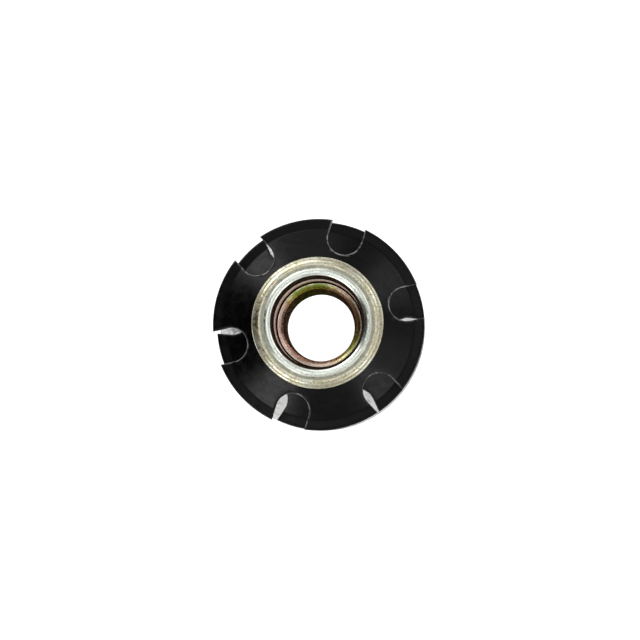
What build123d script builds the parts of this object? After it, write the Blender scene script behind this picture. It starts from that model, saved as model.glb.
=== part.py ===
from build123d import *
from math import hypot, radians, tan
import os

# Threaded caster insert for the end of a round tube, in millimetres.
# The origin is the centre of the flange's outer face, and +Z runs along the bore into the tube.

# Round tube that the insert closes
tube_outer_diameter = 25.4
tube_wall = 0.89

# Bore through the crests of a 3/8 inch thread with 16 turns to the inch, and its lead-in
thread_minor_diameter = 8.05
lead_in_diameter = 10.8
lead_in_half_angle = 30.0

# Flange that covers the end of the tube
flange_setback = 0.125
flange_thickness = 1.3
flange_edge_radius = 0.5
flange_root_chamfer = 0.4

# Thin neck, and the shoulder of the threaded body below it
neck_diameter = 12.4
neck_wall = 1.05
shoulder_width = 0.8
shoulder_height = 11.7
edge_break = 0.2
counterbore_floor_below_shoulder = 0.1
counterbore_cone_half_angle = 45.0

# Star washers: a flat hub, a cone swept back towards the flange, and a flatter band at the tips
star_sheet = 0.7
star_bite = 0.56
star_hole_clearance = 0.1
hub_overhang = 0.2
dish_angle = 30.0
tip_band_width = 1.24
tip_band_angle = 6.0
hub_bend_radius = 0.5
tip_bend_radius = 0.4
tooth_count = 6
notch_width = 3.96
notch_floor_overhang = 1.29
sheared_edge_break = 0.2
upper_star_turn = 13.0
lower_star_turn = -5.1

# Spacer between the two stars
spacer_length = 4.45

# End of the neck, rolled outwards over the upper star
collar_overhang = 1.4
collar_height = 1.5
collar_inner_round = 0.7
crease_overhang = 0.23
crease_depth = 0.25
band_bulge = 0.11
band_height = 1.07
rim_land = 0.02
collar_rim_round = 0.36
collar_seat_clearance = 0.03

# Radii and heights that follow from the sizes above
flange_radius = tube_outer_diameter / 2 - flange_setback
star_radius = tube_outer_diameter / 2 - tube_wall + star_bite
minor_radius = thread_minor_diameter / 2
lead_in_radius = lead_in_diameter / 2
lead_in_depth = (lead_in_radius - minor_radius) / tan(radians(lead_in_half_angle))
neck_radius = neck_diameter / 2
body_radius = neck_radius + shoulder_width
counterbore_radius = neck_radius - neck_wall
counterbore_floor = shoulder_height - counterbore_floor_below_shoulder
cone_depth = (counterbore_radius - minor_radius) / tan(radians(counterbore_cone_half_angle))
star_hole_radius = neck_radius + star_hole_clearance
hub_radius = body_radius + hub_overhang
tip_band_radius = star_radius - tip_band_width
notch_depth = star_radius - hub_radius - notch_floor_overhang
spacer_seat = shoulder_height + star_sheet
upper_star_seat = spacer_seat + spacer_length
collar_seat = upper_star_seat + star_sheet
collar_radius = neck_radius + collar_overhang
overall_height = collar_seat + collar_height


def rings(part, radius):
    """Circular edges of a turned part that have this radius, lowest first."""
    circles = part.edges().filter_by(GeomType.CIRCLE)
    return circles.filter_by(lambda edge: abs(edge.radius - radius) < 1e-3).sort_by(Axis.Z)


def dish_drop(radius):
    """How far a star's sheet has dropped below its hub at this distance from the axis."""
    along_cone = min(max(radius - hub_radius, 0), tip_band_radius - hub_radius)
    along_band = max(radius - tip_band_radius, 0)
    return along_cone * tan(radians(dish_angle)) + along_band * tan(radians(tip_band_angle))


# Flanged barrel: one turned section, up the bore's wall, over the collar and down the outside
wall_top = (counterbore_radius, overall_height - collar_inner_round)
crest = (counterbore_radius + collar_inner_round, overall_height)
crease = (neck_radius + crease_overhang, overall_height - crease_depth)
band_edge = (collar_radius - collar_rim_round - rim_land, collar_seat + band_height)
band_middle = ((crease[0] + band_edge[0]) / 2, (crease[1] + band_edge[1]) / 2 + band_bulge)
rim_top = (collar_radius, band_edge[1])
rim_bottom = (collar_radius, collar_seat - dish_drop(collar_radius) + collar_seat_clearance)
with BuildPart() as flanged_barrel:
    with BuildSketch(Plane.XZ):
        with BuildLine():
            Polyline(
                (lead_in_radius, 0),
                (minor_radius, lead_in_depth),
                (minor_radius, counterbore_floor - cone_depth),
                (counterbore_radius, counterbore_floor),
                wall_top,
            )
            TangentArc(crest, wall_top, tangent=(-1, 0))
            TangentArc(crest, crease, tangent=(1, 0))
            ThreePointArc(crease, band_middle, band_edge)
            Polyline(
                band_edge,
                rim_top,
                rim_bottom,
                (hub_radius, collar_seat),
                (neck_radius, collar_seat),
                (neck_radius, shoulder_height),
                (body_radius, shoulder_height),
                (body_radius, flange_thickness),
                (flange_radius, flange_thickness),
                (flange_radius, 0),
                (lead_in_radius, 0),
            )
        make_face()
    revolve(axis=Axis.Z)
    fillet(rings(flanged_barrel, flange_radius)[0], flange_edge_radius)
    chamfer(rings(flanged_barrel, flange_radius)[-1], edge_break)
    chamfer(rings(flanged_barrel, body_radius)[0], flange_root_chamfer)
    chamfer(rings(flanged_barrel, body_radius)[-1], edge_break)
    fillet(rings(flanged_barrel, collar_radius)[-1], collar_rim_round)
flanged_barrel.part.label = "flanged_barrel"

# Spacer sleeve between the hubs of the two stars
with BuildPart() as spacer_sleeve:
    with BuildSketch(Plane.XY.offset(spacer_seat)):
        Circle(body_radius)
        Circle(star_hole_radius, mode=Mode.SUBTRACT)
    extrude(amount=spacer_length)
    chamfer(rings(spacer_sleeve, body_radius), edge_break)
spacer_sleeve.part.label = "spacer_sleeve"


# Star washers: a bent sheet with open notches, its edges broken on the side that faces up the bore
def star_washer(seat, turn):
    """A star whose hub lies on the height seat, with one of its notches at the angle turn."""

    def on_upper_side(edge):
        """True for an edge of a tooth or notch that lies in the sheet's upper surface."""
        middle = edge @ 0.5
        radius = hypot(middle.X, middle.Y)
        depth = seat + star_sheet - dish_drop(radius) - middle.Z
        return radius > hub_radius and depth < star_sheet / 4

    with BuildPart() as star:
        with BuildSketch(Plane.XZ.rotated((0, 0, turn))):
            with BuildLine():
                FilletPolyline(
                    (star_hole_radius, seat + star_sheet),
                    (hub_radius, seat + star_sheet),
                    (tip_band_radius, seat + star_sheet - dish_drop(tip_band_radius)),
                    (star_radius, seat + star_sheet - dish_drop(star_radius)),
                    radius=(hub_bend_radius + star_sheet, tip_bend_radius),
                )
                offset(amount=star_sheet, side=Side.RIGHT)
            make_face()
        revolve(axis=Axis.Z)
        notch_centre = star_radius + (notch_width - notch_depth) / 2
        with BuildSketch(Plane.XY.offset(seat)):
            with PolarLocations(notch_centre, tooth_count, start_angle=turn):
                SlotCenterToCenter(notch_depth, notch_width)
        extrude(amount=star_radius, both=True, mode=Mode.SUBTRACT)
        chamfer(star.edges(Select.LAST).filter_by(on_upper_side), sheared_edge_break)
    return star


lower_star_washer = star_washer(shoulder_height, lower_star_turn)
lower_star_washer.part.label = "lower_star_washer"
upper_star_washer = star_washer(upper_star_seat, upper_star_turn)
upper_star_washer.part.label = "upper_star_washer"

os.makedirs("parts", exist_ok=True)
for piece in (flanged_barrel, lower_star_washer, spacer_sleeve, upper_star_washer):
    export_step(piece.part, f"parts/{piece.part.label}.step")
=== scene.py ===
from math import acos, asin, cos, hypot, pi, radians, sin, sqrt, tan

import bmesh
import bpy
from mathutils import Matrix, Vector


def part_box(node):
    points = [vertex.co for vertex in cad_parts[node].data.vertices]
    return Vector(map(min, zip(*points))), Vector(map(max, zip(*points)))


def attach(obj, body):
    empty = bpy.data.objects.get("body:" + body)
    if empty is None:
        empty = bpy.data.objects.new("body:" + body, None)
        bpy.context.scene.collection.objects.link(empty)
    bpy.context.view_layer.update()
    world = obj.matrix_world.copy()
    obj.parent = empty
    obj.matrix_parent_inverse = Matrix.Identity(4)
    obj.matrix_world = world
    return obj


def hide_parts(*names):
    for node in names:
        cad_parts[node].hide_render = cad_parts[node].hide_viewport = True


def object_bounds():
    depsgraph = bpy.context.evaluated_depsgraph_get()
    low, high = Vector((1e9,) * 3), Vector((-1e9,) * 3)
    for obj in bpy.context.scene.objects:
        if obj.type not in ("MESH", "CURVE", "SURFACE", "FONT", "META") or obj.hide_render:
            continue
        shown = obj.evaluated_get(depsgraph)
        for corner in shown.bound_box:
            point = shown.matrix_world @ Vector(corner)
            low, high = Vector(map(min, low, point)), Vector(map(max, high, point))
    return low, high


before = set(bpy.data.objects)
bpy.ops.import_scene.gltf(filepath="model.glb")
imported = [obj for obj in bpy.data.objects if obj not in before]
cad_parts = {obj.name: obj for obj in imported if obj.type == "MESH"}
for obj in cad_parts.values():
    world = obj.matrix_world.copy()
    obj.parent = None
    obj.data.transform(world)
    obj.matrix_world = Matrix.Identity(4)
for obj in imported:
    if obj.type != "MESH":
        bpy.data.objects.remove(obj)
cad_box = [list(corner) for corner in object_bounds()]
scene = bpy.context.scene

# Sizes in this script are in millimetres and angles in degrees; Blender's sizes are in metres
MM = 0.001


def radius_and_top(node):
    """How far one of the frame's solids reaches along X, and the height of its top."""
    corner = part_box(node)[1]
    return round(corner.x / MM, 3), round(corner.z / MM, 3)


# Sizes shared with the solids: the frame gives the main ones, and the others follow from them
FLANGE_RADIUS, COLLAR_TOP = radius_and_top("flanged_barrel")
BODY_RADIUS, UPPER_STAR_SEAT = radius_and_top("spacer_sleeve")
COLLAR_SEAT = radius_and_top("upper_star_washer")[1]
STAR_SHEET = round(COLLAR_SEAT - UPPER_STAR_SEAT, 3)
SHOULDER_HEIGHT = round(radius_and_top("lower_star_washer")[1] - STAR_SHEET, 3)
SHOULDER_WIDTH = 0.8
NECK_RADIUS = BODY_RADIUS - SHOULDER_WIDTH
HUB_OVERHANG = 0.2
HUB_RADIUS = BODY_RADIUS + HUB_OVERHANG
COLLAR_OVERHANG = 1.4
COLLAR_RADIUS = NECK_RADIUS + COLLAR_OVERHANG
FLANGE_THICKNESS = 1.3

# Collar: a rounded lip, a fold, and a band that bulges and ends in a rim
LIP_ROUND = 0.7
OUTER_LIP_ROUND = 0.8
OUTER_LIP_ANGLES = (84, 52)
FOLD_OVERHANG = 0.23
FOLD_DEPTH = 0.26
BAND_CENTRE = (COLLAR_RADIUS - 0.858, COLLAR_TOP - 1.02)
BAND_ROUND = 0.79
BAND_ANGLES = (104, 54)
RIM_TOP = COLLAR_SEAT + 1.07
RIM_BOTTOM = COLLAR_SEAT - 0.2
ARC_STEP = 6.4

# How far from each corner of the barrel's section its rounding starts
FOLD_REACH = 0.06
RIM_TOP_REACH = 0.30
RIM_BOTTOM_REACH = 0.06
SHOULDER_REACH = 0.15
FLANGE_ROOT_REACH = 0.35
FLANGE_TOP_REACH = 0.20
FLANGE_BOTTOM_REACH = 0.55

# Counterbore: a ledge that curves flat on its way out, a narrow groove round it, and the neck's wall
NECK_WALL = 1.05
COUNTERBORE_RADIUS = NECK_RADIUS - NECK_WALL
LEDGE_INNER_RADIUS = 4.29
LEDGE_OUTER_RADIUS = 4.95
LEDGE_BOTTOM = 11.25
LEDGE_TOP = 11.6
LEDGE_CURVE = 1.8
LEDGE_STEPS = 8
GROOVE_FLOOR = 11.35
GROOVE_SIDE_HEIGHT = 0.08
GROOVE_INNER_SIDE = (LEDGE_OUTER_RADIUS + 0.02, LEDGE_OUTER_RADIUS + 0.07)
GROOVE_OUTER_SIDE = (COUNTERBORE_RADIUS - 0.03, COUNTERBORE_RADIUS)

# Internal thread, 3/8 inch with 16 turns to the inch, and the lead-in below it
THREAD_PITCH = 25.4 / 16
THREAD_MAJOR_RADIUS = 4.7625
THREAD_MINOR_RADIUS = 4.03
THREAD_HALF_ANGLE = 30
THREAD_ROUNDING = 0.06
ROOT_HALF_WIDTH = THREAD_PITCH / 16
THREAD_END = 10.3
THREAD_END_SLOPE = 1.5
LEAD_IN_RADIUS = 5.4
LEAD_IN_HALF_ANGLE = 30
LEAD_IN_TOP = 2.3

# The crests narrow to a waist, and lie off the axis along Y between the two ends of the thread
WAIST_HEIGHT = 5.5
FLARE_ABOVE = LEDGE_INNER_RADIUS - THREAD_MINOR_RADIUS
FLARE_ABOVE_CURVE = 1.5
FLARE_BELOW = 0.13
FLARE_BELOW_HEIGHT = 2.5
CREST_OFFSET = -0.12
CREST_OFFSET_FADE = 2.4

# Where the barrel's dark film, painted shade, begins on the neck's wall, and where it ends on the lip
DARK_WALL_HEIGHT = 16.3
DARK_FILM_RADIUS = 5.41

# Rings of the barrel's mesh below the ledge, points in a ring, and radius of the one on the flange's face
BORE_RINGS = 200
COLUMNS = 144
FLANGE_FACE_RING = 9.0

# Star washers: a flat hub, a cone and a flatter band at the tips, with round-bottomed notches
STAR_RADIUS = 12.37
STAR_HOLE_CLEARANCE = 0.1
STAR_HOLE_RADIUS = NECK_RADIUS + STAR_HOLE_CLEARANCE
TIP_BAND_WIDTH = 1.24
TIP_BAND_RADIUS = STAR_RADIUS - TIP_BAND_WIDTH
DISH_ANGLE = 30
TIP_BAND_ANGLE = 6
HUB_BEND_REACH = 0.32
TIP_BEND_REACH = 0.12
NOTCH_FLOOR_OVERHANG = 1.29
NOTCH_FLOOR = HUB_RADIUS + NOTCH_FLOOR_OVERHANG
NOTCH_HALF_WIDTH = 1.98
NOTCH_CENTRE = NOTCH_FLOOR + NOTCH_HALF_WIDTH
TOOTH_COUNT = 6
EDGE_ROUNDING = 0.22

# Rows and columns of a star's mesh, which are closest at the sheared edges and at the two bends
EDGE_STEPS = (0, 0.02, 0.05, 0.09, 0.14, 0.2)
NEAR_EDGE = (*EDGE_STEPS, 0.3)
TOOTH_COLUMNS = 8
STAR_COLUMNS = len(NEAR_EDGE) + TOOTH_COLUMNS
HUB_ROW = 6.6
HUB_BEND_STEPS = 4
CONE_ROWS = (7.7, 7.9, 8.08, 8.2)
NOTCH_STEPS = 18
TOOTH_ROWS = (10.8, 10.92)
TIP_BEND_STEPS = 3
TIP_ROWS = (11.3, 11.5, 11.75, 12.0)
SAME_RADIUS = 1e-6

# Each star has its seat's height, the angle of its first notch, its play round the neck, how far each
# notch is out of true, and the wear and painted highlight on each notch's clockwise and counter-clockwise
# edge
LOWER_STAR = dict(
    seat=SHOULDER_HEIGHT,
    turn=-5.1,
    play=(0.079, -0.020),
    notch_errors=(-0.8, -2.6, -1.1, 0.0, 1.0, 0.0),
    wear_and_highlight=((0.2, 0.2),) * TOOTH_COUNT,
)
UPPER_STAR = dict(
    seat=UPPER_STAR_SEAT,
    turn=13.0,
    play=(0.017, -0.079),
    notch_errors=(0.0,) * TOOTH_COUNT,
    wear_and_highlight=((0.5, 0.8), (0.9, 0.9), (0.15, 0.9), (0.1, 0.5), (0.1, 0.8), (0.1, 0.5)),
)
# Wear and painted highlight on the rim, and the edge's roll-over at which it is full
RIM_WEAR_AND_HIGHLIGHT = 0.1
FULL_WEAR_AND_HIGHLIGHT_DROP = 0.05

# Meshes: points closer than this, in metres, are one, and edges sharper than this stay sharp
MERGE_DISTANCE = 1e-7
SHORTEST_EDGE = 1e-8
SHARP_ANGLE = 38

# Camera: the picture is scaled and centred by the plane of the upper star's tips
IMAGE_SIZE = 640
TIP_PLANE = 15.2
PIXELS_PER_MM = 8.585
TIP_CENTRE_PIXEL = (318.40, 323.82)
CAMERA_DISTANCE = 254.0
CAMERA_TILT = 3.12
TILT_TOWARDS = (0.663, -0.748)
SENSOR_WIDTH = 36.0
NEAREST_SEEN = 10

# White ground: its width, its own grey and the light that it gives off
GROUND_WIDTH = 3000
GROUND_COLOUR = (0.5, 0.5, 0.5, 1)
GROUND_GLOW = 0.92

# Sky by the height of a direction over the horizon, from 0 to 1: a dome, a spot overhead and a belt
DOME_FADE = (0.20, 0.50)
DOME_LIGHT = (0.56, 0.60)
OVERHEAD_FADE = (0.88, 0.96)
OVERHEAD_LIGHT = (0, 0.70)
BELT_RISE = (0.57, 0.66)
BELT_FALL = (0.86, 0.78)
BELT_LIGHT = (0, 0.22)

# Panels in the sky: azimuth and elevation of the middle, and how far from it the panel starts to fade
# and is gone; then the light that a light panel adds, or the share of it that a dark one takes away
LIGHT_PANELS = (
    (231, 30, 8, 18, 4.6),
    (106, 44, 8, 22, 1.7),
    (133, 31, 8, 15, 5.0),
    (84, 30, 4, 12, 0.8),
    (34, 32, 8, 17, 1.7),
    (328, 32, 12, 28, 0.8),
    (313, 30, 6, 13, 2.0),
    (34, 77, 5, 12, 2.6),
    (120, 69, 6, 16, 0.90),
    (226, 76, 6, 14, 0.90),
    (302, 68, 6, 18, 0.35),
)
DARK_PANELS = (
    (185, 26, 26, 34, 0.97),
    (176, 61, 15, 21, 0.98),
    (78, 63, 18, 28, 0.62),
    (272, 63, 10, 20, 0.60),
    (343, 63, 16, 26, 0.50),
    (180, 72, 4, 11, 0.85),
    (70, 28, 6, 13, 0.35),
)

# Noises of the finishes: scale per millimetre, detail and, where it isn't the usual one, roughness
PLATE_CLOUD = (0.55, 3)
PLATE_MOTTLE = (1.5, 5, 0.62)
PLATE_BLOTCH = (2.3, 4, 0.6)
PLATE_SPECK = (4.2, 4, 0.7)
LATHE_MARKS = (1.0, 5)
FLANGE_STROKES = (1.0, 5, 0.6)
FILM_SPECK = (5.0, 3, 0.7)
DARK_FILM_GRAIN = (1.6, 5)
THREAD_GRAIN = (2.5, 4)
OXIDE_CLOUD = (0.45, 3)
OXIDE_MOTTLE = (1.3, 5, 0.6)
OXIDE_FLECK = (5.0, 4, 0.65)
OXIDE_SCUFF = (1.0, 4)

# How far some are squeezed along x, y and z, and the lathe's marks outwards, round the axis and upwards;
# the lathe's marks divide by the radius, which counts as this much at the axis
FLANGE_STROKES_SQUEEZE = (1.1, 3.2, 1)
DARK_FILM_SQUEEZE = (1, 1, 3)
THREAD_SQUEEZE = (1, 1, 5)
OXIDE_SCUFF_SQUEEZE = (0.5, 6, 1)
LATHE_OUTWARD = 10
LATHE_ROUND = 2.2
LATHE_UP = 3
NEAR_AXIS = 0.01

# Zinc plate: its colours, and the radii and heights between which each of them fades in; the lip's painted
# shade also has a side, where x is this share of the radius
LIP_COLOUR = (0.83, 0.88, 0.80, 1)
STRAW_COLOUR = (0.66, 0.62, 0.44, 1)
OLIVE_COLOUR = (0.46, 0.46, 0.27, 1)
TAN_COLOUR = (0.52, 0.38, 0.28, 1)
YELLOW_RADII = (5.9, 6.7)
YELLOW_HEIGHTS = (16.8, 17.3)
# Painted shade: a grey patch on the lip's +X side, and a darker fold between lip and band
LIP_SHADE_COLOUR = (0.20, 0.22, 0.19, 1)
LIP_SHADE_RADII = ((5.35, 5.50), (6.05, 5.85))
LIP_SHADE_SIDE = (0.80, 0.97)
FOLD_SHADE_COLOUR = (0.30, 0.30, 0.24, 1)
FOLD_SHADE_RADII = ((6.12, 6.34), (6.72, 6.50))
FOLD_SHADE_HEIGHTS = (18.0, 18.4)
GRIME_COLOUR = (0.15, 0.14, 0.12, 1)
SPECK_RADII = (5.9, 6.5)
SPECK_HEIGHTS = (16.5, 17.2)
RIM_GRIME_RADII = (7.05, 7.35)
BODY_COLOURS = ((0.34, 0.35, 0.34, 1), (0.60, 0.61, 0.59, 1))
BODY_RADII = (6.0, 6.6)
BODY_HEIGHTS = (17.2, 16.9)

# Flange: matt white plate with stains, a patch of painted shade mottled with dark marks, and a grey edge
FLANGE_COLOUR = (0.99, 0.99, 0.98, 1)
FLANGE_STAIN_AND_SHADE = (0.30, 0.31, 0.31, 1)
FLANGE_HEIGHTS = (2.0, 1.5)
FLANGE_EDGE_RADII = (12.43, 12.52)
# Painted shade under the stars, mottled with dark marks: its middle, and how far out it fades
FLANGE_SHADE_PATCH = (-10.6, -0.4)
FLANGE_SHADE_PATCH_FADE = (2.2, 0.4)

# Film in the bore: its colour by thickness, which drifts in waves of (number round the bore, phase, size)
FILM_STOPS = (
    (0.12, (0.30, 0.40, 0.06)),
    (0.24, (0.60, 0.60, 0.27)),
    (0.40, (0.56, 0.42, 0.22)),
    (0.62, (0.86, 0.68, 0.57)),
    (0.88, (0.84, 0.56, 0.51)),
)
FILM_THICKNESS = 0.43
FILM_WAVES = ((1, 232, 0.20), (2, 63, 0.25), (3, 128, 0.20))
FILM_RADII = (5.50, 5.40)
FILM_HEIGHTS = (1.6, 2.0)
# Painted shade on one side of the bore, and the angle from +X that it centres on
FILM_SIDE_SHADE_COLOUR = (0.17, 0.125, 0.045, 1)
FILM_SIDE_SHADE_ANGLE = 20
RUBBED_FILM_COLOUR = (0.88, 0.76, 0.63, 1)
RUBBED_RADII = ((4.72, 4.90), (4.99, 4.96))
FILM_SPECK_COLOUR = (0.14, 0.11, 0.06, 1)
WALL_FILM_COLOUR = (0.62, 0.36, 0.31, 1)
WALL_HEIGHTS = (11.62, 11.9)
# Painted shade, nearly black, inside the lip at the bore's mouth
MOUTH_SHADE_COLOUR = (0.020, 0.014, 0.007, 1)
MOUTH_SHADE_RADII = (5.49, 5.40)
MOUTH_SHADE_HEIGHTS = (15.6, 16.3)

# Dark film of painted shade, from the groove's colours to those at the bore's mouth
GROOVE_COLOURS = ((0.030, 0.007, 0.004, 1), (0.052, 0.022, 0.014, 1))
MOUTH_COLOURS = ((0.013, 0.009, 0.005, 1), (0.036, 0.023, 0.014, 1))
MOUTH_HEIGHTS = (13.0, 15.0)

# Cut thread
ROOT_COLOUR = (0.026, 0.017, 0.008, 1)
CREST_TINT = (0.10, 0.07, 0.03, 1)
CREST_RADII = (4.40, 4.15)
OIL_COLOUR = (0.018, 0.011, 0.005, 1)

# Black oxide
OXIDE_COLOURS = ((0.0006, 0.0006, 0.0006, 1), (0.0018, 0.0017, 0.0016, 1))
FLECK_COLOUR = (0.020, 0.020, 0.019, 1)
SCUFF_COLOUR = (0.012, 0.012, 0.012, 1)
# Bright worn metal that also paints highlights along the sheared edges
WORN_HIGHLIGHT_COLOUR = (0.30, 0.29, 0.28, 1)
OXIDE_SHINE = 0.14

# Depth of the bumps of every finish
BUMP_DEPTH = 0.03


class Graph:
    """A short way to write the nodes of one material or world."""

    def __init__(self, tree):
        self.tree = tree
        tree.nodes.clear()

    def node(self, kind, inputs=(), **settings):
        """A new node, with some of its inputs and settings given."""
        made = self.tree.nodes.new(kind)
        for name, value in settings.items():
            setattr(made, name, value)
        for name, value in dict(inputs).items():
            self.put(made.inputs[name], value)
        return made

    def put(self, socket, value):
        """Links a socket to another one's output, or sets its constant."""
        if isinstance(value, bpy.types.NodeSocket):
            self.tree.links.new(value, socket)
        else:
            socket.default_value = value

    def math(self, operation, first, *others):
        """One value from several: the operation takes the first two, then its result and the next one."""
        for other in others:
            made = self.node("ShaderNodeMath", {0: first, 1: other}, operation=operation)
            first = made.outputs[0]
        return first

    def add(self, *values):
        return self.math("ADD", *values)

    def subtract(self, first, second):
        return self.math("SUBTRACT", first, second)

    def times(self, *values):
        return self.math("MULTIPLY", *values)

    def most(self, *values):
        return self.math("MAXIMUM", *values)

    def cosine(self, angle):
        return self.node("ShaderNodeMath", {0: angle}, operation="COSINE").outputs[0]

    def length(self, x, y):
        """Length of a vector that has only an x and a y."""
        squares = self.add(self.times(x, x), self.times(y, y))
        return self.node("ShaderNodeMath", {0: squares}, operation="SQRT").outputs[0]

    def span(self, value, low, high, to_low=0.0, to_high=1.0):
        """Takes low..high smoothly to to_low..to_high."""
        made = self.node(
            "ShaderNodeMapRange",
            {"Value": value, "From Min": low, "From Max": high, "To Min": to_low, "To Max": to_high},
            interpolation_type="SMOOTHSTEP",
        )
        return made.outputs["Result"]

    def between(self, value, rise, fall):
        """1 between two places, fading in over one range and out over another."""
        return self.times(self.span(value, *rise), self.span(value, *fall))

    def mix(self, factor, first, second):
        """One colour at a factor of 0, and another at 1."""
        made = self.node("ShaderNodeMix", data_type="RGBA")
        self.put(made.inputs["Factor"], factor)
        self.put(made.inputs[6], first)
        self.put(made.inputs[7], second)
        return made.outputs[2]

    def ramp(self, value, stops):
        """Colour ramp from several (position, (red, green, blue))."""
        made = self.node("ShaderNodeValToRGB")
        ramp = made.color_ramp
        while len(ramp.elements) < len(stops):
            ramp.elements.new(0.5)
        for element, (position, colour) in zip(ramp.elements, stops):
            element.position = position
            element.color = (*colour, 1)
        self.put(made.inputs[0], value)
        return made.outputs[0]

    def noise(self, vector, scale, detail, roughness=0.55):
        """Noise from about 0.2 to 0.8, with most of it near 0.5."""
        made = self.node(
            "ShaderNodeTexNoise",
            {"Vector": vector, "Scale": scale, "Detail": detail, "Roughness": roughness},
        )
        return made.outputs["Fac"]

    def uneven_colour(self, noise, colours):
        """Two colours, mixed by a noise."""
        return self.mix(self.span(noise, 0.35, 0.65), *colours)

    def uneven(self, noise, low, high):
        """A value that a noise moves between two."""
        return self.span(noise, 0.3, 0.7, low, high)

    def vector(self, x, y, z):
        return self.node("ShaderNodeCombineXYZ", {0: x, 1: y, 2: z}).outputs[0]

    def split(self, vector):
        """A vector's x, y and z."""
        return self.node("ShaderNodeSeparateXYZ", {0: vector}).outputs[:3]

    def scaled(self, vector, scales):
        """A vector with its x, y and z each multiplied."""
        return self.node("ShaderNodeVectorMath", {0: vector, 1: scales}, operation="MULTIPLY").outputs[0]

    def millimetres(self):
        """Place on the object, in millimetres."""
        return self.scaled(self.node("ShaderNodeTexCoord").outputs["Object"], (1 / MM,) * 3)

    def bump(self, height, strength):
        inputs = {"Height": height, "Strength": strength, "Distance": BUMP_DEPTH * MM}
        return self.node("ShaderNodeBump", inputs).outputs[0]

    def principled(self, **inputs):
        """The material's shader, with inputs named as in Blender but for the spaces."""
        shader = self.node("ShaderNodeBsdfPrincipled", {k.replace("_", " "): v for k, v in inputs.items()})
        output = self.node("ShaderNodeOutputMaterial")
        self.tree.links.new(shader.outputs[0], output.inputs[0])


def new_material(name):
    """A material without nodes, and the graph that makes them."""
    material = bpy.data.materials.new(name)
    material.use_nodes = True
    return material, Graph(material.node_tree)


def dress(piece, material):
    """Gives all of a piece one material."""
    piece.data.materials.clear()
    piece.data.materials.append(material)


def make_piece(name, vertices, faces, node, material, worn_and_highlit=None):
    """A closed mesh in millimetres that stands for a solid of the frame and rides on the same body."""
    mesh = bpy.data.meshes.new(name)
    mesh.from_pydata([tuple(value * MM for value in vertex) for vertex in vertices], [], faces)
    # Wear and painted highlight, kept as a value at each point
    if worn_and_highlit:
        mesh.attributes.new("worn_and_highlit", "FLOAT", "POINT").data.foreach_set("value", worn_and_highlit)
    form = bmesh.new()
    form.from_mesh(mesh)
    bmesh.ops.remove_doubles(form, verts=form.verts, dist=MERGE_DISTANCE)
    bmesh.ops.dissolve_degenerate(form, edges=form.edges, dist=SHORTEST_EDGE)
    bmesh.ops.recalc_face_normals(form, faces=form.faces)
    for face in form.faces:
        face.smooth = True
    for edge in form.edges:
        edge.smooth = edge.is_manifold and edge.calc_face_angle(0) < radians(SHARP_ANGLE)
    form.to_mesh(mesh)
    form.free()
    piece = bpy.data.objects.new(name, mesh)
    scene.collection.objects.link(piece)
    dress(piece, material)
    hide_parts(node)
    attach(piece, "root")
    return piece


def rounded(corners, steps=5):
    """Points of a path through (radius, height, reach) corners; each is rounded off from that far away."""
    points = []
    for place, (radius, height, reach) in enumerate(corners):
        corner = Vector((radius, height))
        if reach == 0:
            points.append(corner)
            continue
        before = (Vector(corners[place - 1][:2]) - corner).normalized()
        after = (Vector(corners[(place + 1) % len(corners)][:2]) - corner).normalized()
        for step in range(steps + 1):
            t = step / steps
            points.append(corner + before * reach * (1 - t) ** 2 + after * reach * t ** 2)
    return points


def arc(centre, radius, first, last):
    """Corners along an arc in the (radius, height) plane, from one angle to another."""
    steps = round(abs(last - first) / ARC_STEP)
    angles = [radians(first + (last - first) * step / steps) for step in range(steps + 1)]
    return [(centre[0] + radius * cos(a), centre[1] + radius * sin(a), 0) for a in angles]


def soft_max(first, second, reach):
    """The larger of two values, blended where they come within reach of each other."""
    gap = first - second
    if abs(gap) >= reach:
        return max(first, second)
    return second + (gap + reach) ** 2 / (4 * reach)


# Flanged barrel: a turned outside, and a bore with its thread
def bore_radius(height, turn):
    """Radius of the bore's wall; turn is the angle round the axis as a part of a whole turn."""
    along = (height / THREAD_PITCH - turn) % 1.0
    from_root = abs(along - 0.5) * THREAD_PITCH
    depth = max(from_root - ROOT_HALF_WIDTH, 0) / tan(radians(THREAD_HALF_ANGLE))
    flank = THREAD_MAJOR_RADIUS - depth
    flank -= THREAD_END_SLOPE * max(height - THREAD_END, 0)
    if height > WAIST_HEIGHT:
        share = (height - WAIST_HEIGHT) / (LEDGE_BOTTOM - WAIST_HEIGHT)
        flare = FLARE_ABOVE * share ** FLARE_ABOVE_CURVE
    else:
        flare = FLARE_BELOW * (WAIST_HEIGHT - height) / FLARE_BELOW_HEIGHT
    thread = soft_max(flank, THREAD_MINOR_RADIUS + flare, THREAD_ROUNDING)
    return max(thread, LEAD_IN_RADIUS - height * tan(radians(LEAD_IN_HALF_ANGLE)))


def ledge():
    """Corners of the counterbore's floor, from the end of the thread outwards."""
    corners = []
    for step in range(LEDGE_STEPS + 1):
        out = step / LEDGE_STEPS
        radius = LEDGE_INNER_RADIUS + (LEDGE_OUTER_RADIUS - LEDGE_INNER_RADIUS) * out
        rise = (LEDGE_TOP - LEDGE_BOTTOM) * (1 - (1 - out) ** LEDGE_CURVE)
        corners.append((radius, LEDGE_BOTTOM + rise, 0))
    return corners


def groove():
    """Corners of the groove round the ledge, and of the neck's wall up to the lip."""
    side_top = GROOVE_FLOOR + GROOVE_SIDE_HEIGHT
    return [
        (GROOVE_INNER_SIDE[0], side_top, 0),
        (GROOVE_INNER_SIDE[1], GROOVE_FLOOR, 0),
        (GROOVE_OUTER_SIDE[0], GROOVE_FLOOR, 0),
        (GROOVE_OUTER_SIDE[1], side_top, 0),
        (COUNTERBORE_RADIUS, DARK_WALL_HEIGHT, 0),
    ]


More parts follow.
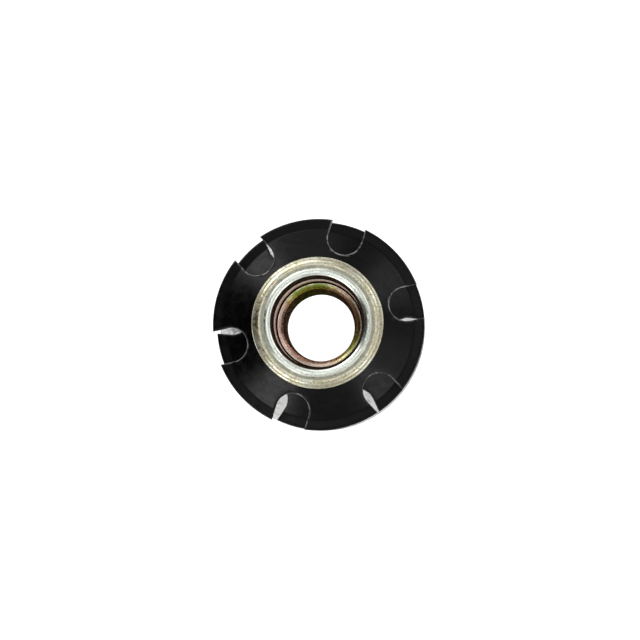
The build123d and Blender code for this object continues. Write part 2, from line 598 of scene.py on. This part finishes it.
def collar():
    """Corners of the collar, over the lip and the band to its seat on the upper star."""
    lip_middle = COUNTERBORE_RADIUS + LIP_ROUND
    return [
        *arc((lip_middle, COLLAR_TOP - LIP_ROUND), LIP_ROUND, 180, 90),
        *arc((lip_middle, COLLAR_TOP - OUTER_LIP_ROUND), OUTER_LIP_ROUND, *OUTER_LIP_ANGLES),
        (NECK_RADIUS + FOLD_OVERHANG, COLLAR_TOP - FOLD_DEPTH, FOLD_REACH),
        *arc(BAND_CENTRE, BAND_ROUND, *BAND_ANGLES),
        (COLLAR_RADIUS, RIM_TOP, RIM_TOP_REACH),
        (COLLAR_RADIUS, RIM_BOTTOM, RIM_BOTTOM_REACH),
        (HUB_RADIUS, COLLAR_SEAT, 0),
        (NECK_RADIUS, COLLAR_SEAT, 0),
    ]


def body():
    """Corners of the shoulder, the body and the flange, down to a ring on the flange's outer face."""
    return [
        (NECK_RADIUS, SHOULDER_HEIGHT, 0),
        (BODY_RADIUS, SHOULDER_HEIGHT, SHOULDER_REACH),
        (BODY_RADIUS, FLANGE_THICKNESS, FLANGE_ROOT_REACH),
        (FLANGE_RADIUS, FLANGE_THICKNESS, FLANGE_TOP_REACH),
        (FLANGE_RADIUS, 0, FLANGE_BOTTOM_REACH),
        (FLANGE_FACE_RING, 0, 0),
    ]


def bore_finish(radius, height):
    """Place in the barrel's list of materials for a face: 0 plate, 1 thread, 2 dark film of painted shade.
    """
    if radius > DARK_FILM_RADIUS or height < LEAD_IN_TOP:
        return 0
    if height < LEDGE_BOTTOM and radius < LEDGE_OUTER_RADIUS:
        return 1
    in_groove = radius > LEDGE_OUTER_RADIUS and height < GROOVE_FLOOR + GROOVE_SIDE_HEIGHT
    return 2 if in_groove or height > DARK_WALL_HEIGHT else 0


def on_circle(radius, column):
    """x and y of one of a ring's points."""
    angle = 2 * pi * column / COLUMNS
    return radius * cos(angle), radius * sin(angle)


def make_barrel(plate, thread, painted_shade_film):
    """Rings of points up the bore and on round the outside, each joined to the next."""
    vertices, faces = [], []
    for ring in range(BORE_RINGS):
        height = LEDGE_BOTTOM * ring / BORE_RINGS
        to_end = min(height, LEDGE_BOTTOM - height)
        offset = CREST_OFFSET * min(to_end / CREST_OFFSET_FADE, 1)
        for column in range(COLUMNS):
            x, y = on_circle(bore_radius(height, column / COLUMNS), column)
            vertices.append((x, y + offset, height))
    for radius, height in rounded(ledge() + groove() + collar() + body()):
        for column in range(COLUMNS):
            vertices.append((*on_circle(radius, column), height))
    rings = len(vertices) // COLUMNS
    for ring in range(rings):
        here, above = ring * COLUMNS, (ring + 1) % rings * COLUMNS
        for column in range(COLUMNS):
            after = (column + 1) % COLUMNS
            faces.append((here + column, here + after, above + after, above + column))
    piece = make_piece("threaded_barrel", vertices, faces, "flanged_barrel", plate)
    piece.data.materials.append(thread)
    piece.data.materials.append(painted_shade_film)
    for face in piece.data.polygons:
        x, y, z = (value / MM for value in face.center)
        face.material_index = bore_finish(hypot(x, y), z)


# Star washers: a dished sheet with six notches, its upper edges rolled over by the shears
def height_at(path, radius):
    """Height of a (radius, height) path at a radius."""
    for (r0, z0), (r1, z1) in zip(path, path[1:]):
        if radius <= r1:
            break
    return z0 + (z1 - z0) * (radius - r0) / (r1 - r0)


def dish_paths():
    """Upper and lower side of the sheet, as heights over the seat."""
    hub_drop = (TIP_BAND_RADIUS - HUB_RADIUS) * tan(radians(DISH_ANGLE))
    band_drop = hub_drop + (STAR_RADIUS - TIP_BAND_RADIUS) * tan(radians(TIP_BAND_ANGLE))
    corners = [
        (STAR_HOLE_RADIUS, STAR_SHEET, 0),
        (HUB_RADIUS, STAR_SHEET, HUB_BEND_REACH),
        (TIP_BAND_RADIUS, STAR_SHEET - hub_drop, TIP_BEND_REACH),
        (STAR_RADIUS, STAR_SHEET - band_drop, 0),
    ]
    upper = rounded(corners, steps=8)
    lower = []
    for place, point in enumerate(upper):
        along = upper[min(place + 1, len(upper) - 1)] - upper[max(place - 1, 0)]
        across = Vector((along.y, -along.x)).normalized()
        lower.append(point + across * STAR_SHEET)
    return upper, lower


def notch_angle(radius):
    """Angle from a notch's middle to its edge at a distance from the axis, in radians."""
    if radius <= NOTCH_FLOOR:
        return 0.0
    if radius >= hypot(NOTCH_CENTRE, NOTCH_HALF_WIDTH):
        return asin(NOTCH_HALF_WIDTH / radius)
    squares = radius ** 2 + NOTCH_CENTRE ** 2 - NOTCH_HALF_WIDTH ** 2
    return acos(min(squares / (2 * radius * NOTCH_CENTRE), 1))


def star_rows():
    """Distances from the axis that the star's mesh has rows at."""
    rows = [STAR_HOLE_RADIUS, HUB_ROW]
    for step in range(-HUB_BEND_STEPS, HUB_BEND_STEPS + 1):
        rows.append(HUB_RADIUS + HUB_BEND_REACH * step / HUB_BEND_STEPS)
    rows += CONE_ROWS
    rows += [NOTCH_FLOOR - step for step in reversed(EDGE_STEPS[1:])]
    for step in range(NOTCH_STEPS + 1):
        inward = cos(radians(90 * step / NOTCH_STEPS))
        squares = NOTCH_CENTRE ** 2 + NOTCH_HALF_WIDTH ** 2
        rows.append(sqrt(squares - 2 * NOTCH_CENTRE * NOTCH_HALF_WIDTH * inward))
    rows += TOOTH_ROWS
    for step in range(-TIP_BEND_STEPS, TIP_BEND_STEPS):
        rows.append(TIP_BAND_RADIUS + TIP_BEND_REACH * step / TIP_BEND_STEPS)
    rows += TIP_ROWS
    rows += [STAR_RADIUS - step for step in reversed(EDGE_STEPS)]
    return rows


def half_tooth_angles(radius, half_tooth):
    """Angles from a notch's middle at which a row has its points, in radians."""
    edge = notch_angle(radius)
    angles = [edge + step / radius for step in NEAR_EDGE]
    start = angles[-1]
    for step in range(1, TOOTH_COLUMNS + 1):
        angles.append(start + (half_tooth - start) * step / TOOTH_COLUMNS)
    return angles


def edge_drop(radius, angle):
    """How far the upper side is rolled over near a notch or the rim."""
    x, y = radius * cos(angle), radius * sin(angle)
    to_notch = (hypot(x - NOTCH_CENTRE, y) if x < NOTCH_CENTRE else abs(y)) - NOTCH_HALF_WIDTH
    inside = max(EDGE_ROUNDING - min(to_notch, STAR_RADIUS - radius), 0)
    return EDGE_ROUNDING - sqrt(max(EDGE_ROUNDING ** 2 - min(inside, EDGE_ROUNDING) ** 2, 0))


def half_tooth_faces(rows, first):
    """Faces of a half tooth: the sheet's two sides, its sheared edge, the hole's wall and the rim."""
    top = [first + 2 * place for place in range(len(rows) * STAR_COLUMNS)]
    bottom = [point + 1 for point in top]
    faces = []
    for row in range(len(rows) - 1):
        here, beyond = row * STAR_COLUMNS, (row + 1) * STAR_COLUMNS
        for column in range(STAR_COLUMNS - 1):
            for side in (top, bottom):
                near = (side[here + column], side[here + column + 1])
                far = (side[beyond + column + 1], side[beyond + column])
                faces.append(near + far)
        if rows[row] >= NOTCH_FLOOR - SAME_RADIUS:
            faces.append((top[here], top[beyond], bottom[beyond], bottom[here]))
    for start in (0, (len(rows) - 1) * STAR_COLUMNS):
        for a in range(start, start + STAR_COLUMNS - 1):
            faces.append((top[a], top[a + 1], bottom[a + 1], bottom[a]))
    return faces


def make_star(name, node, material, seat, turn, play, notch_errors, wear_and_highlight):
    """Half teeth, one on each side of every notch, whose points lie in pairs on the sheet's two sides."""
    upper, lower = dish_paths()
    rows = star_rows()
    vertices, faces, worn_and_highlit = [], [], []
    for half in range(2 * TOOTH_COUNT):
        notch, counter_clockwise = divmod(half, 2)
        side = 1 if counter_clockwise else -1
        next_notch = (notch + side) % TOOTH_COUNT
        middle = radians(turn + 360 * notch / TOOTH_COUNT + notch_errors[notch])
        between = radians(notch_errors[next_notch] - notch_errors[notch]) * side
        half_tooth = pi / TOOTH_COUNT + between / 2
        faces += half_tooth_faces(rows, len(vertices))
        for radius in rows:
            upper_height = seat + height_at(upper, radius)
            lower_height = seat + height_at(lower, radius)
            for column, angle in enumerate(half_tooth_angles(radius, half_tooth)):
                x = radius * cos(middle + side * angle) + play[0]
                y = radius * sin(middle + side * angle) + play[1]
                drop = edge_drop(radius, angle)
                vertices += [(x, y, upper_height - drop), (x, y, lower_height)]
                # Points on the rolled upper edge carry wear and painted highlight
                edge_wear_and_highlight = wear_and_highlight[notch][counter_clockwise] if column < len(NEAR_EDGE) else RIM_WEAR_AND_HIGHLIGHT
                worn_and_highlit += [min(drop / FULL_WEAR_AND_HIGHLIGHT_DROP, 1.0) * edge_wear_and_highlight, 0.0]
    make_piece(name, vertices, faces, node, material, worn_and_highlit)


# Zinc plate: white on the lip, straw on the collar's outer band, filmed and dark inside the bore
def yellowed_plate(g, place, radius, z):
    """Plate that is white on the lip and has yellowed on the band and the rim, in uneven blotches."""
    cloud = g.noise(place, *PLATE_CLOUD)
    blotch = g.noise(place, *PLATE_BLOTCH)
    yellow = g.times(g.span(radius, *YELLOW_RADII), g.span(z, *YELLOW_HEIGHTS))
    yellow = g.times(yellow, g.span(cloud, 0.30, 0.62, 0.55, 1.0))
    plate = g.mix(yellow, LIP_COLOUR, STRAW_COLOUR)
    plate = g.mix(g.times(yellow, g.span(blotch, 0.50, 0.62, 0, 0.8)), plate, OLIVE_COLOUR)
    return g.mix(g.times(yellow, g.span(blotch, 0.47, 0.37, 0, 0.75)), plate, TAN_COLOUR)


def flange_plate(g, place, radius, lathe, mottle):
    """Matt white plate, stained in short strokes and faint rings, with one patch of painted shade mottled
    dark.
    """
    x, y = g.split(place)[:2]
    strokes = g.noise(g.scaled(place, FLANGE_STROKES_SQUEEZE), *FLANGE_STROKES)
    # Painted shade under the stars, mottled with dark marks
    from_shade_patch = g.length(g.subtract(x, FLANGE_SHADE_PATCH[0]), g.subtract(y, FLANGE_SHADE_PATCH[1]))
    stain_and_shade = g.most(
        g.span(strokes, 0.50, 0.70, 0, 0.55),
        g.span(lathe, 0.50, 0.66, 0, 0.15),
        g.times(g.span(from_shade_patch, *FLANGE_SHADE_PATCH_FADE), g.span(mottle, 0.36, 0.64, 0.1, 0.95)),
        g.span(radius, *FLANGE_EDGE_RADII),
    )
    return g.mix(stain_and_shade, FLANGE_COLOUR, FLANGE_STAIN_AND_SHADE)


def film_colour(g, place, mottle):
    """Bore film's colour from its thickness round the bore and on its wall, with painted shade on one side.
    """
    x, y, z = g.split(place)
    radius = g.length(x, y)
    turn = g.math("ARCTAN2", y, x)
    drift = g.add(FILM_THICKNESS, g.times(g.subtract(mottle, 0.5), 0.4))
    for number, phase, size in FILM_WAVES:
        wave = g.cosine(g.subtract(g.times(turn, number), radians(phase)))
        drift = g.add(drift, g.times(wave, size))
    # Painted shade darkens the film on one side of the bore
    facing = g.cosine(g.subtract(turn, radians(FILM_SIDE_SHADE_ANGLE)))
    film = g.mix(g.span(facing, 0.55, 0.95, 0, 0.75), g.ramp(drift, FILM_STOPS), FILM_SIDE_SHADE_COLOUR)
    rubbed = g.times(g.between(radius, *RUBBED_RADII), g.span(mottle, 0.35, 0.60, 0.9, 0.3))
    film = g.mix(rubbed, film, RUBBED_FILM_COLOUR)
    speck = g.noise(place, *FILM_SPECK)
    film = g.mix(g.span(speck, 0.46, 0.64, 0, 0.32), film, FILM_SPECK_COLOUR)
    return g.mix(g.span(z, *WALL_HEIGHTS, 0, 0.85), film, WALL_FILM_COLOUR)


def zinc_material():
    material, g = new_material("zinc_plate")
    place = g.millimetres()
    x, y, z = g.split(place)
    radius = g.length(x, y)
    across = g.math("DIVIDE", x, g.most(radius, NEAR_AXIS))
    along = g.math("DIVIDE", y, g.most(radius, NEAR_AXIS))
    drawn_round = g.vector(
        g.times(radius, LATHE_OUTWARD),
        g.times(across, LATHE_ROUND),
        g.add(g.times(along, LATHE_ROUND), g.times(z, LATHE_UP)),
    )
    lathe = g.noise(drawn_round, *LATHE_MARKS)
    mottle = g.noise(place, *PLATE_MOTTLE)
    speck = g.noise(place, *PLATE_SPECK)

    # Painted shade: a grey patch on the lip's +X side, and a darker fold between lip and band
    plate = yellowed_plate(g, place, radius, z)
    lip_shade = g.times(g.between(radius, *LIP_SHADE_RADII), g.span(across, *LIP_SHADE_SIDE))
    lip_shade = g.times(lip_shade, g.span(mottle, 0.35, 0.58, 0.35, 0.9))
    plate = g.mix(lip_shade, plate, LIP_SHADE_COLOUR)
    # Painted shade in the fold between lip and band
    fold_shade = g.times(g.between(radius, *FOLD_SHADE_RADII), g.span(z, *FOLD_SHADE_HEIGHTS))
    plate = g.mix(g.times(fold_shade, g.span(mottle, 0.3, 0.6, 0.7, 1.0)), plate, FOLD_SHADE_COLOUR)

    # Dark specks, most of them on the collar's band, and grime on its rim
    dots = g.times(g.span(speck, 0.53, 0.66), g.span(mottle, 0.40, 0.60, 0.20, 0.95))
    dots = g.times(dots, g.span(z, *SPECK_HEIGHTS, 0.22, 1.0), g.span(radius, *SPECK_RADII, 0.55, 1.0))
    plate = g.mix(dots, plate, GRIME_COLOUR)
    rim_grime = g.times(g.span(radius, *RIM_GRIME_RADII), g.span(mottle, 0.35, 0.62, 0.12, 0.32))
    plate = g.mix(rim_grime, plate, GRIME_COLOUR)

    # Below the collar the plate is greyer, and on the flange it is white
    below = g.times(g.span(z, *BODY_HEIGHTS), g.span(radius, *BODY_RADII))
    plate = g.mix(below, plate, g.uneven_colour(lathe, BODY_COLOURS))
    flange = g.span(z, *FLANGE_HEIGHTS)
    plate = g.mix(flange, plate, flange_plate(g, place, radius, lathe, mottle))

    # The bore is filmed, with painted shade darkening it towards the lip
    in_bore = g.times(g.span(radius, *FILM_RADII), g.span(z, *FILM_HEIGHTS))
    colour = g.mix(in_bore, plate, film_colour(g, place, mottle))
    mouth_shade = g.times(g.span(radius, *MOUTH_SHADE_RADII), g.span(z, *MOUTH_SHADE_HEIGHTS))
    colour = g.mix(mouth_shade, colour, MOUTH_SHADE_COLOUR)

    # Specks, the flange and the painted shade of fold and mouth are duller; lathe marks show best on the
    # body
    metal = g.subtract(1, g.times(mouth_shade, 0.5))
    metal = g.subtract(metal, g.times(g.most(flange, fold_shade), 0.75))
    rough = g.add(g.uneven(mottle, 0.22, 0.38), g.times(g.most(dots, flange, fold_shade), 0.3))
    turned = g.times(lathe, g.span(z, *BODY_HEIGHTS, 0.15, 0.8))
    relief = g.add(turned, g.add(mottle, g.times(speck, 0.5)))
    relief = g.subtract(relief, g.times(dots, 0.6))
    g.principled(Base_Color=colour, Metallic=metal, Roughness=rough, Normal=g.bump(relief, 0.5))
    return material


# Painted shade: a nearly black film in the groove and at the top of the bore's wall
def painted_shade_film_material():
    material, g = new_material("painted_shade_film")
    place = g.millimetres()
    z = g.split(place)[2]
    grain = g.noise(g.scaled(place, DARK_FILM_SQUEEZE), *DARK_FILM_GRAIN)
    groove_film = g.uneven_colour(grain, GROOVE_COLOURS)
    mouth_film = g.uneven_colour(grain, MOUTH_COLOURS)
    g.principled(
        Base_Color=g.mix(g.span(z, *MOUTH_HEIGHTS), groove_film, mouth_film),
        Roughness=g.uneven(grain, 0.42, 0.60),
        Specular_IOR_Level=0.0,
        Normal=g.bump(grain, 0.4),
    )
    return material


# Cut thread: oily and dull, dark in the roots and tinted by the film on the crests
def thread_material():
    material, g = new_material("cut_thread")
    place = g.millimetres()
    x, y = g.split(place)[:2]
    mottle = g.noise(place, *PLATE_MOTTLE)
    grain = g.noise(g.scaled(place, THREAD_SQUEEZE), *THREAD_GRAIN)
    crest = g.mix(0.75, film_colour(g, place, mottle), CREST_TINT)
    colour = g.mix(g.span(g.length(x, y), *CREST_RADII), ROOT_COLOUR, crest)
    g.principled(
        Base_Color=g.mix(g.span(grain, 0.42, 0.62, 0, 0.85), colour, OIL_COLOUR),
        Roughness=g.uneven(grain, 0.45, 0.60),
        Specular_IOR_Level=0.0,
        Normal=g.bump(grain, 0.4),
    )
    return material


# Black oxide on spring steel: satin and scuffed; worn bright in places along sheared edges, with painted
# highlight
def black_material():
    material, g = new_material("black_oxide")
    place = g.millimetres()
    cloud = g.noise(place, *OXIDE_CLOUD)
    mottle = g.noise(place, *OXIDE_MOTTLE)
    fleck = g.noise(place, *OXIDE_FLECK)
    drag = g.noise(g.scaled(place, OXIDE_SCUFF_SQUEEZE), *OXIDE_SCUFF)

    # Wear along the sheared edges, which also paints their highlights
    worn_and_highlit = g.node("ShaderNodeAttribute", attribute_name="worn_and_highlit").outputs["Fac"]
    worn_and_highlit = g.times(worn_and_highlit, g.span(mottle, 0.42, 0.60, 0.10, 1.0))
    flecks = g.times(g.span(fleck, 0.60, 0.72), g.span(cloud, 0.45, 0.62, 0.1, 1.0))
    scuffs = g.times(g.span(drag, 0.60, 0.75), g.span(mottle, 0.5, 0.65))

    colour = g.uneven_colour(cloud, OXIDE_COLOURS)
    colour = g.mix(g.times(flecks, 0.5), colour, FLECK_COLOUR)
    colour = g.mix(g.times(scuffs, 0.4), colour, SCUFF_COLOUR)
    g.principled(
        Base_Color=g.mix(g.times(worn_and_highlit, 0.8), colour, WORN_HIGHLIGHT_COLOUR),
        Metallic=g.times(worn_and_highlit, 0.6),
        Roughness=g.uneven(mottle, 0.20, 0.33),
        Specular_IOR_Level=OXIDE_SHINE,
        Normal=g.bump(g.add(g.times(fleck, 0.35), mottle), 0.3),
    )
    return material


# White ground that the insert stands on
def make_floor():
    bpy.ops.mesh.primitive_plane_add(size=GROUND_WIDTH * MM, location=(0, 0, cad_box[0][2]))
    floor = bpy.context.object
    floor.name = "floor"
    material, g = new_material("white_ground")
    g.principled(
        Base_Color=GROUND_COLOUR,
        Roughness=0.9,
        Emission_Color=(1, 1, 1, 1),
        Emission_Strength=GROUND_GLOW,
    )
    dress(floor, material)


# Soft light from above, with lighter and darker panels that show in the bent metal
def make_sky():
    world = bpy.data.worlds.new("soft_sky")
    scene.world = world
    world.use_nodes = True
    g = Graph(world.node_tree)
    direction = g.node("ShaderNodeTexCoord").outputs["Generated"]
    height = g.split(direction)[2]

    def panel(azimuth, elevation, inner, outer):
        """1 within an angle of a direction, fading to 0 at a wider one."""
        a, e = radians(azimuth), radians(elevation)
        centre = (cos(a) * cos(e), sin(a) * cos(e), sin(e))
        facing = g.node("ShaderNodeVectorMath", {0: direction, 1: centre}, operation="DOT_PRODUCT")
        return g.span(facing.outputs["Value"], cos(radians(outer)), cos(radians(inner)))

    dome = g.span(height, *DOME_FADE, *DOME_LIGHT)
    overhead = g.span(height, *OVERHEAD_FADE, *OVERHEAD_LIGHT)
    belt = g.times(g.span(height, *BELT_RISE), g.span(height, *BELT_FALL, *BELT_LIGHT))
    light = g.add(dome, overhead, belt)
    for *place, strength in LIGHT_PANELS:
        light = g.add(light, g.times(panel(*place), strength))
    for *place, share in DARK_PANELS:
        light = g.times(light, g.subtract(1, g.times(panel(*place), share)))
    background = g.node("ShaderNodeBackground", {"Color": (1, 1, 1, 1), "Strength": light})
    output = g.node("ShaderNodeOutputWorld")
    g.tree.links.new(background.outputs[0], output.inputs[0])


def make_camera():
    """Looks down the bore, tilted a little; the frame is shifted to centre the tips as in the picture."""
    tilt = radians(CAMERA_TILT)
    back = Vector((sin(tilt) * TILT_TOWARDS[0], sin(tilt) * TILT_TOWARDS[1], cos(tilt)))
    target = Vector((0, 0, TIP_PLANE * MM))
    data = bpy.data.cameras.new("camera")
    data.sensor_width = SENSOR_WIDTH
    data.lens = PIXELS_PER_MM * CAMERA_DISTANCE / IMAGE_SIZE * SENSOR_WIDTH
    data.shift_x = (IMAGE_SIZE / 2 - TIP_CENTRE_PIXEL[0]) / IMAGE_SIZE
    data.shift_y = (TIP_CENTRE_PIXEL[1] - IMAGE_SIZE / 2) / IMAGE_SIZE
    data.clip_start = NEAREST_SEEN * MM
    camera = bpy.data.objects.new("camera", data)
    camera.location = target + back * CAMERA_DISTANCE * MM
    camera.rotation_mode = "QUATERNION"
    right = Vector((0, 1, 0)).cross(back).normalized()
    up = back.cross(right)
    camera.rotation_quaternion = Matrix((right, up, back)).transposed().to_quaternion()
    scene.collection.objects.link(camera)
    scene.camera = camera


scene.view_settings.view_transform = "Standard"
make_floor()
make_sky()
make_camera()

zinc = zinc_material()
black = black_material()
dress(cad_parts["spacer_sleeve"], zinc)
make_barrel(zinc, thread_material(), painted_shade_film_material())
make_star("lower_star", "lower_star_washer", black, **LOWER_STAR)
make_star("upper_star", "upper_star_washer", black, **UPPER_STAR)
